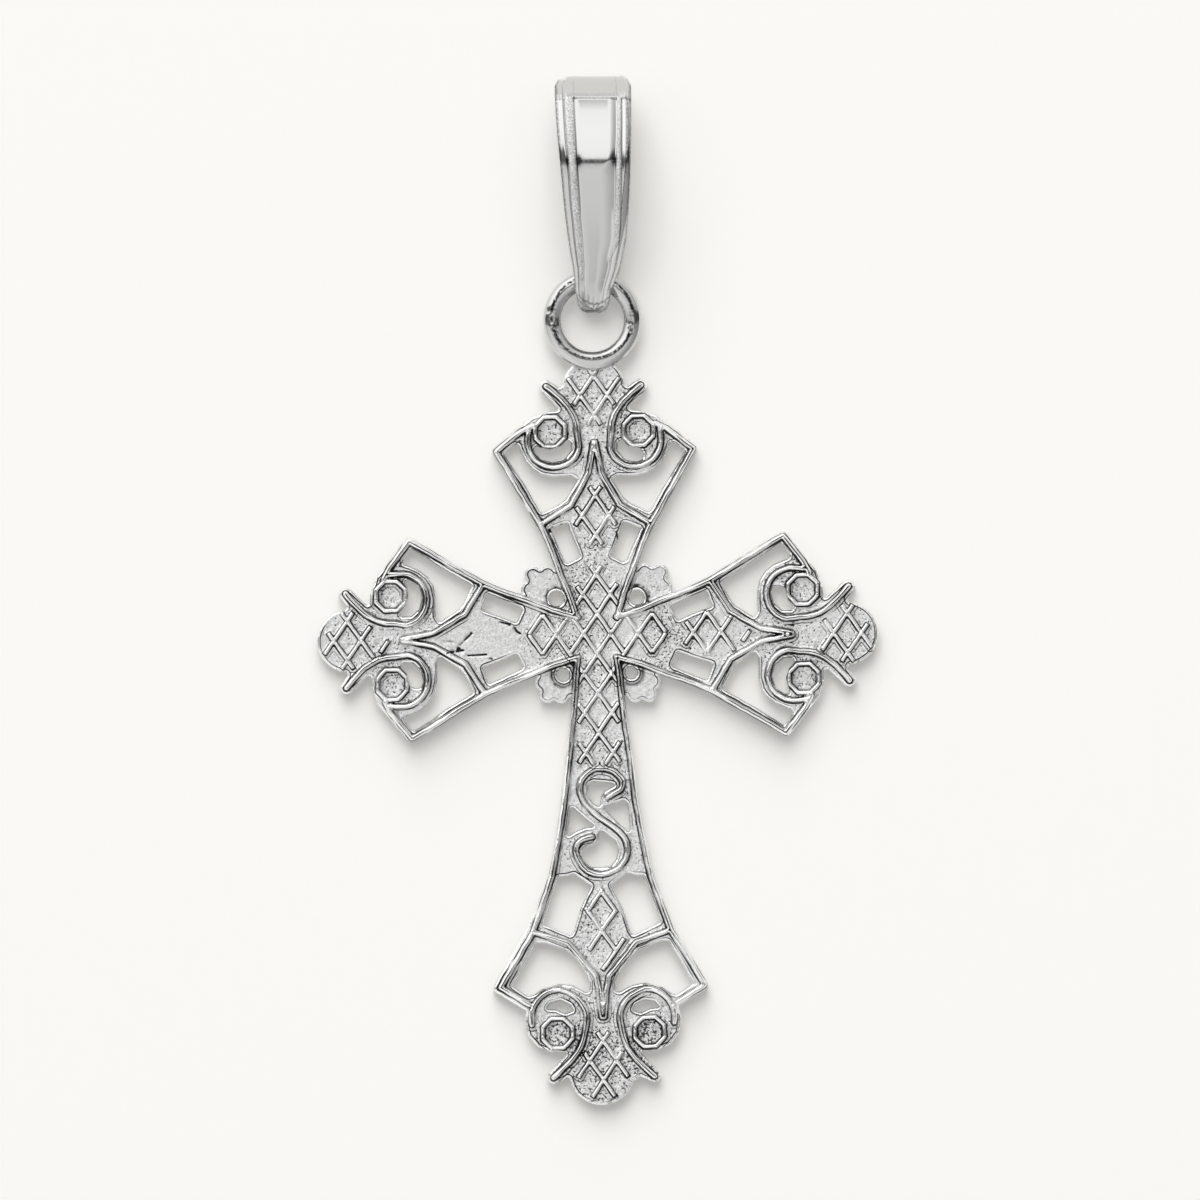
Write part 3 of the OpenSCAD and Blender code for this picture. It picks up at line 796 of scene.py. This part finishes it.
def plain_sinks(y, uncapped):
    """Sinks over the left flange, the panel, the bevel and the right flange."""
    left, _, panel, _, bevel, right = (np.linspace(0, 1, count)[None, :] for count in ZONE_POINTS)
    rolled = 0.035 * np.clip(1 - left / 0.4, 0, 1) ** 2 + 0.03 * left ** 8
    left_sink = FLANGE_SINK + rolled - uncapped * (0.045 * hump(left, 0.8, 0.3))
    falls_from = (0.8 - grown(0.35, 13.0, 12.6, y))[:, None]
    fallen = 0.05 * np.clip((panel - falls_from) / (1 - falls_from), 0, 1) ** 2.2
    panel_sink = PANEL_SINK + uncapped * (0.014 * np.exp(-panel / 0.05) + fallen)
    bevel_sink = BEVEL_SINK + 0.035 * (1 - bevel) * uncapped + 0.03 * bevel ** 6
    right_sink = FLANGE_SINK + 0.06 * right ** 2 - 0.03 * uncapped * (1 - right)
    return left_sink, panel_sink, bevel_sink, right_sink


def strap_zones(edges, y, along, front, uncapped):
    """Shares of the half width, sinks and roughness over the strap, station by station."""
    share = [low[:, None] + (high - low)[:, None] * np.linspace(0, 1, count)[None, :]
             for low, high, count in zip(edges, edges[1:], ZONE_POINTS)]
    on_front = uncapped[:, 0] * front
    ribs = [rib(count, along, on_front * smooth_step(*fade, y - FOOT_END))
            for count, fade in zip((ZONE_POINTS[1], ZONE_POINTS[3]), RIBS_FADE)]
    left, panel, bevel, right = plain_sinks(y, uncapped)
    sink = [left, ribs[0][0], panel, ribs[1][0], bevel, right]
    rough = [0, ribs[0][1], 0, ribs[1][1], 0, 0]
    return (np.concatenate(share, axis=1),
            np.concatenate([s + 0 * place for s, place in zip(sink, share)], axis=1),
            np.concatenate([r + 0 * place for r, place in zip(rough, share)], axis=1))


def cap_and_ridge(share, y, front, capped, right_in):
    """What the cap and a thin ridge inside the right rib take off the strap's sink."""
    rise = 0.045 * smooth_step(-0.76, -0.72, share) * capped
    for groove in (-0.745, 0.7):
        rise = rise - 0.02 * hump(share, groove, 0.012) * capped
    ridge_on = smooth_step(10.1, 10.35, y) * smooth_step(11.7, 11.2, y) * front
    return rise + 0.035 * hump(share, (right_in - 0.02)[:, None], 0.035) * ridge_on[:, None]


def past_lip(share, y):
    """How far up the bail each point lies from the lip's wavy edge at its foot."""
    lip_end = FOOT_END + 0.2 + 0.26 * (share - 0.1) ** 2
    return (y[:, None] - lip_end) + 0.012 * np.sin(share * 21)


def lip_rise(share, past):
    """Height of the swollen lip, and of the ridge along it that waxes and wanes."""
    swollen = smooth_step(0.4, 0.08, past) * smooth_step(-0.012, 0.012, past)
    waxing = 0.6 + 0.5 * np.sin(share * 9 + 1)
    return 0.06 * swollen + 0.045 * hump(past, 0.045, 0.032) * waxing


def bail_painted_shade(share, y, edges, front, uncapped, near_foot, lip_parts):
    """Painted shade and painted reflections on the bail: about its lip, in its seams, along its
    edges and at its turns.
    """
    found = list(lip_parts)
    for edge, strength in ((1, 0.35), (4, 0.3), (5, 0.75)):
        line = hump(share, edges[edge][:, None], 0.02) * uncapped * (1 - near_foot)
        found.append(strength * line)
    found.append(grown(0.55, 0.9, 0.98, np.abs(share)) * front[:, None])
    at_turn = (hump(y, *PANEL_TURN) * front)[:, None]
    for edge, beside, reach in BLOBS:
        found.append(1.1 * hump(share, (edges[edge] + beside)[:, None], reach) * at_turn)
    at_cap = (hump(y, CAP_EDGE, 0.02) * front)[:, None]
    between = smooth_step(-0.62, -0.55, share) * smooth_step(0.66, 0.6, share)
    found.append(0.35 * at_cap * between)
    return np.maximum.reduce(found)


def bail_section(points, normal, along):
    """Shares of the half width, sinks, roughness and painted shade over the strap, by station."""
    y, front = points[:, 0], normal[:, 1] > 0
    capped = smooth_step(CAP_EDGE - 0.03, CAP_EDGE + 0.03, y)[:, None]
    uncapped = 1 - capped
    edges = zone_edges(y, along)
    share, sink, rough = strap_zones(edges, y, along, front, uncapped)
    sink -= cap_and_ridge(share, y, front, capped, edges[3])
    near_foot = smooth_step(0.9, 0.4, y - FOOT_END)[:, None]
    sink *= 1 - near_foot * 0.9
    past = past_lip(share, y)
    facing = (front | (normal[:, 0] < -0.4))[:, None] * near_foot
    sink -= lip_rise(share, past) * facing
    seam = hump(past, 0.13, 0.03) * facing
    rough = np.clip(rough + 0.5 * seam, 0, 1)
    # Painted shade at the lip's edge, below it and along the seam above it
    lip_parts = (hump(past, -0.02, 0.03) * facing, grown(0.3, 0.0, -0.02, past) * facing,
                 0.6 * seam)
    return share, sink, rough, bail_painted_shade(share, y, edges, front, uncapped, near_foot, lip_parts)


def bail_mesh():
    """The bail's strap: a loop with a smooth panel between rough ribs, ending in a lip."""
    points, normal, along = bail_side()
    points = eased_flank(points, normal)
    share, sink, rough, sooty = bail_section(points, normal, along)
    half = bail_half_width(points[:, 0])
    half *= 1 - grown(0.07, 15.05, 15.25, points[:, 0])
    half *= np.sqrt(1 - 0.9 * np.clip((9.1 - points[:, 0]) / 0.35, 0, 1) ** 2)
    outer = points[:, None, :] - normal[:, None, :] * sink[:, :, None]
    inner = np.repeat(points[:, None, :] - normal[:, None, :] * BAIL_STRAP, 2, axis=1)
    inner_x = half[:, None] * np.array([0.97, -0.97])[None, :]
    yz = np.concatenate([outer, inner], axis=1)
    xs = np.concatenate([half[:, None] * share, inner_x], axis=1)
    xs += np.interp(points[:, 0], *np.array(BAIL_SWAY).T)[:, None]
    x, y, z = xs.ravel(), yz[:, :, 0].ravel() - BAIL_FOOT[0], yz[:, :, 1].ravel()
    turn = -math.radians(BAIL_TURN)
    vertices = np.column_stack([x * math.cos(turn) - y * math.sin(turn) + BAIL_ASIDE,
                                x * math.sin(turn) + y * math.cos(turn) + BAIL_FOOT[0],
                                np.maximum(z, 0)])
    plain = np.zeros((BAIL_STATIONS, 2))
    values = {"rough": np.concatenate([rough, plain], axis=1).ravel(),
              "sooty": np.concatenate([sooty, plain], axis=1).ravel()}
    return vertices, grid_faces(BAIL_STATIONS, share.shape[1] + 2), values


def start_material(name, metallic=1.0):
    """A material, its node tree and its shader."""
    material = bpy.data.materials.new(name)
    material.use_nodes = True
    shader = material.node_tree.nodes["Principled BSDF"]
    shader.inputs["Metallic"].default_value = metallic
    return material, material.node_tree, shader


def add_node(tree, kind, inputs=(), **settings):
    """A node with its settings, and its inputs set to values or linked to outputs."""
    node = tree.nodes.new(kind)
    for name, value in settings.items():
        setattr(node, name, value)
    for name, value in dict(inputs).items():
        if isinstance(value, bpy.types.NodeSocket):
            tree.links.new(value, node.inputs[name])
        else:
            node.inputs[name].default_value = value
    return node


def worked_out(tree, operation, *inputs, held=False):
    """Output of a sum on outputs and numbers, held between 0 and 1 if so told."""
    node = add_node(tree, "ShaderNodeMath", dict(enumerate(inputs)), operation=operation,
                    use_clamp=held)
    return node.outputs[0]


def feed(tree, shader, colour, roughness, bump):
    """Links a material's colour, roughness and bump to its shader."""
    tree.links.new(colour, shader.inputs["Base Color"])
    tree.links.new(roughness, shader.inputs["Roughness"])
    tree.links.new(bump.outputs["Normal"], shader.inputs["Normal"])


def mixed(tree, share, first, second, blend="MIX"):
    """Output that runs between two colours or outputs by share, or blends them."""
    ends = [value if isinstance(value, bpy.types.NodeSocket) else (*value, 1.0)
            for value in (first, second)]
    node = add_node(tree, "ShaderNodeMix", data_type="RGBA", blend_type=blend)
    for socket, value in zip((node.inputs[0], node.inputs[6], node.inputs[7]), (share, *ends)):
        if isinstance(value, bpy.types.NodeSocket):
            tree.links.new(value, socket)
        else:
            socket.default_value = value
    return node.outputs[2]


def attribute(tree, name):
    """Output of a number that the mesh holds at its vertices."""
    return add_node(tree, "ShaderNodeAttribute", attribute_name=name).outputs["Fac"]


def clouds(tree, where, scale, detail, roughness):
    """Output of a noise texture."""
    inputs = {"Vector": where, "Scale": scale, "Detail": detail, "Roughness": roughness}
    return add_node(tree, "ShaderNodeTexNoise", inputs).outputs["Fac"]


def ramped(tree, value, low, high, to_low, to_high):
    """Output that runs from one range to another and is held at its ends."""
    node = add_node(tree, "ShaderNodeMapRange",
                    {"Value": value, "From Min": low, "From Max": high,
                     "To Min": to_low, "To Max": to_high})
    return node.outputs["Result"]


def brightest(tree, first, *others):
    """Output of the largest of several outputs."""
    for other in others:
        first = worked_out(tree, "MAXIMUM", first, other)
    return first


def line_along(tree, distance, line, strength):
    """1 along the line where the distance is at its place, wider as its strength is more."""
    place, half = line
    off = ramped(tree, distance, place - 2 * half, place + 2 * half, -2.0, 2.0)
    left = worked_out(tree, "SUBTRACT", strength, worked_out(tree, "MULTIPLY", off, off))
    return ramped(tree, left, 0.0, 0.4, 0.0, 1.0)


def cast_lines(tree, where):
    """Painted shade beside the casting's wires and strokes and along its border, and a painted
    reflection along the wires' crests.
    """
    other_place = add_node(tree, "ShaderNodeMapping",
                           {"Vector": where, "Location": (0.07, 0.03, 0.0)})
    other_force = clouds(tree, other_place.outputs["Vector"], *OTHER_FORCE)
    near = ramped(tree, clouds(tree, where, *FORCE), 0.36, 0.64, 0.15, 2.2)
    far = ramped(tree, other_force, 0.42, 0.64, 0.0, 0.75)
    inside = [attribute(tree, name) for name in ("in_wire", "in_stroke")]
    beside = [attribute(tree, name) for name in ("by_wire", "by_stroke")]
    found = [line_along(tree, distance, line, worked_out(tree, "MULTIPLY", strength, along))
             for lines, along in ((NEAR_LINES, near), (FAR_LINES, far))
             for distance, strength, line in zip(inside, beside, lines)]
    on_crest = ramped(tree, other_force, 0.42, 0.6, -0.2, 1.1)
    on_border = worked_out(tree, "MULTIPLY", attribute(tree, "bare"),
                           ramped(tree, other_force, 0.38, 0.62, 0.1, 1.3))
    return found + [line_along(tree, inside[0], CREST_LINE, on_crest),
                    line_along(tree, attribute(tree, "in_edge"), BORDER_LINE, on_border)]


def cast_silver():
    """Satin casting with a fine grain and dark pits, bright on its lines, with painted shade
    beside them and a painted reflection along their crests.
    """
    material, tree, shader = start_material("cast_silver")
    where = add_node(tree, "ShaderNodeTexCoord").outputs["Object"]
    polish, pitted = attribute(tree, "polish"), attribute(tree, "pitted")
    grain = clouds(tree, where, *CAST_GRAIN)
    specks = clouds(tree, where, *SPECKS)
    emphasis = clouds(tree, where, *EMPHASIS)
    mottled = mixed(tree, ramped(tree, grain, 0.36, 0.62, 0.0, 1.0), GREY, WHITE)
    patches = ramped(tree, clouds(tree, where, *PATCHES), 0.3, 0.7, 0.35, 1.0)
    surface = mixed(tree, polish, mixed(tree, patches, PALE, mottled),
                    mixed(tree, emphasis, PALE, WHITE))
    denser = worked_out(tree, "MULTIPLY_ADD", pitted, 0.09, specks)
    pits = worked_out(tree, "MULTIPLY", ramped(tree, denser, 0.655, 0.705, 0.0, 1.0),
                      ramped(tree, pitted, 0.0, 0.5, 0.0, 0.95), held=True)
    surface = mixed(tree, pits, surface, PAINTED_SHADE_AND_TARNISH)
    # Painted shade at the pinhole rims' feet, in the gouges and over the walls, broken up by a
    # cloud
    painted_shade_marks = worked_out(tree, "MULTIPLY", attribute(tree, "shaded"),
                       ramped(tree, emphasis, 0.38, 0.62, 0.45, 1.6), held=True)
    # Painted shade beside the lines and a painted reflection along the wire crests darken the
    # colour
    surface = mixed(tree, brightest(tree, painted_shade_marks, *cast_lines(tree, where)), surface, PAINTED_SHADE_AND_TARNISH)
    dents = add_node(tree, "ShaderNodeBump",
                     {"Height": specks, "Strength": ramped(tree, pitted, 0.0, 1.0, 0.0, 1.0),
                      "Distance": 3e-5}, invert=True)
    bump = add_node(tree, "ShaderNodeBump",
                    {"Height": grain, "Strength": ramped(tree, polish, 0.0, 1.0, 1.0, 0.15),
                     "Distance": 2e-5, "Normal": dents.outputs["Normal"]})
    feed(tree, shader, surface, ramped(tree, polish, 0.0, 1.0, 0.34, 0.12), bump)
    return material


def polished_silver():
    """Bright polished silver with faint handling scratches, rough where it is marked so, and dark
    where it is marked with solder and with painted shade and painted reflections.
    """
    material, tree, shader = start_material("polished_silver")
    where = add_node(tree, "ShaderNodeTexCoord").outputs["Object"]
    rough, sooty = attribute(tree, "rough"), attribute(tree, "sooty")
    across = add_node(tree, "ShaderNodeMapping",
                      {"Vector": where, "Rotation": (0.0, 0.0, 0.5), "Scale": (9.0, 1.0, 9.0)})
    scratch = clouds(tree, across.outputs["Vector"], *SCRATCHES)
    grain = clouds(tree, where, *FINE_BEADS)
    beaded = mixed(tree, ramped(tree, grain, 0.35, 0.6, 0.0, 1.0), BEAD_GREY, BEAD_PALE)
    # Dark spots of solder, and of painted shade and painted reflections, broken up by the grain
    spots = worked_out(tree, "MULTIPLY", sooty, ramped(tree, grain, 0.38, 0.55, 0.4, 1.3),
                       held=True)
    surface = mixed(tree, spots, mixed(tree, rough, POLISHED, beaded), PAINTED_SHADE_AND_SOLDER)
    wear = ramped(tree, scratch, 0.3, 0.7, 0.05, 0.11)
    fine = add_node(tree, "ShaderNodeBump",
                    {"Height": scratch, "Strength": 0.12, "Distance": 4e-6})
    bump = add_node(tree, "ShaderNodeBump",
                    {"Height": grain, "Strength": rough, "Distance": 3e-5,
                     "Normal": fine.outputs["Normal"]})
    feed(tree, shader, surface, worked_out(tree, "MULTIPLY_ADD", rough, 0.2, wear), bump)
    return material


def make_floor():
    """A plain pale floor with a faint glow of its own."""
    mesh = bpy.data.meshes.new("floor")
    corners = [(x * FLOOR_HALF, y * FLOOR_HALF, 0)
               for x, y in ((-1, -1), (1, -1), (1, 1), (-1, 1))]
    mesh.from_pydata(corners, [], [(0, 1, 2, 3)])
    material, _, shader = start_material("floor", 0.0)
    plain = {"Base Color": FLOOR_COLOUR, "Emission Color": FLOOR_COLOUR,
             "Emission Strength": FLOOR_GLOW, "Roughness": 1.0, "Specular IOR Level": 0.0}
    for name, value in plain.items():
        shader.inputs[name].default_value = value
    mesh.materials.append(material)
    placed("floor", mesh)


def make_lamp(name, left, right, near, far, radiance):
    """A soft lamp for the floor and its shadows, which the metal doesn't mirror."""
    light = bpy.data.lights.new(name, "AREA")
    light.shape = "RECTANGLE"
    light.size, light.size_y = right - left, far - near
    light.energy = radiance * math.pi * light.size * light.size_y
    light.cycles.use_multiple_importance_sampling = False
    lamp = placed(name, light)
    lamp.location = ((left + right) / 2, (near + far) / 2, LIGHT_HEIGHT)
    lamp.visible_glossy = False


def brightness_ramp(tree, value, stops):
    """Output of grey levels by place, from a list of places and levels."""
    ramp = add_node(tree, "ShaderNodeValToRGB", {"Fac": value})
    for i, (place, level) in enumerate(stops):
        edge = ramp.color_ramp.elements[i] if i < 2 else ramp.color_ramp.elements.new(place)
        edge.position, edge.color = place, (level, level, level, 1.0)
    return ramp.outputs["Color"]


def make_studio():
    """The soft surroundings that the metal mirrors."""
    world = bpy.data.worlds.new("studio")
    world.use_nodes = True
    world.cycles_visibility.diffuse = False
    bpy.context.scene.world = world
    tree = world.node_tree
    way = add_node(tree, "ShaderNodeTexCoord").outputs["Generated"]
    parts = add_node(tree, "ShaderNodeSeparateXYZ", {"Vector": way}).outputs
    widened = ramped(tree, worked_out(tree, "ABSOLUTE", parts["X"]), *GAP_WIDENS)
    ends = (-1.0 - GAP_MIDDLE, 1.0 - GAP_MIDDLE)
    from_gap = ramped(tree, parts["Y"], -1.0, 1.0, *ends)
    drawn_in = worked_out(tree, "DIVIDE", from_gap, widened)
    along_y = brightness_ramp(tree, ramped(tree, drawn_in, *ends, 0.0, 1.0), STUDIO_ALONG_Y)
    along_x = brightness_ramp(tree, ramped(tree, parts["X"], -1.0, 1.0, 0.0, 1.0), STUDIO_ALONG_X)
    both = mixed(tree, 1.0, along_y, along_x, "MULTIPLY")
    tree.links.new(both, tree.nodes["Background"].inputs["Color"])


def make_camera():
    """Straight above the charm, far off, turned a little as the photograph is."""
    data = bpy.data.cameras.new("camera")
    data.sensor_width = CAMERA_SENSOR
    data.lens = CAMERA_SENSOR * CAMERA_DISTANCE / VIEW_WIDTH
    data.clip_start, data.clip_end = CAMERA_CLIP
    camera = placed("camera", data)
    camera.location = np.array((*VIEW_CENTRE, CAMERA_DISTANCE + PLATE_FACE)) * MM
    camera.rotation_euler = (0, 0, math.radians(CAMERA_TURN))
    bpy.context.scene.camera = camera


casting, polished = cast_silver(), polished_silver()
make_piece("cross_casting", *cross_mesh(level_regions("cross")), casting, "cast_silver", "cross")
make_piece("soldered_ring", *ring_mesh(), polished, "polished_silver", "cross")
make_piece("bail_strap", *bail_mesh(), polished, "polished_silver", "bail")
make_floor()
for lamp_name, lamp_values in LAMPS.items():
    make_lamp(lamp_name, *lamp_values)
make_studio()
make_camera()
bpy.context.scene.view_settings.view_transform = "Standard"
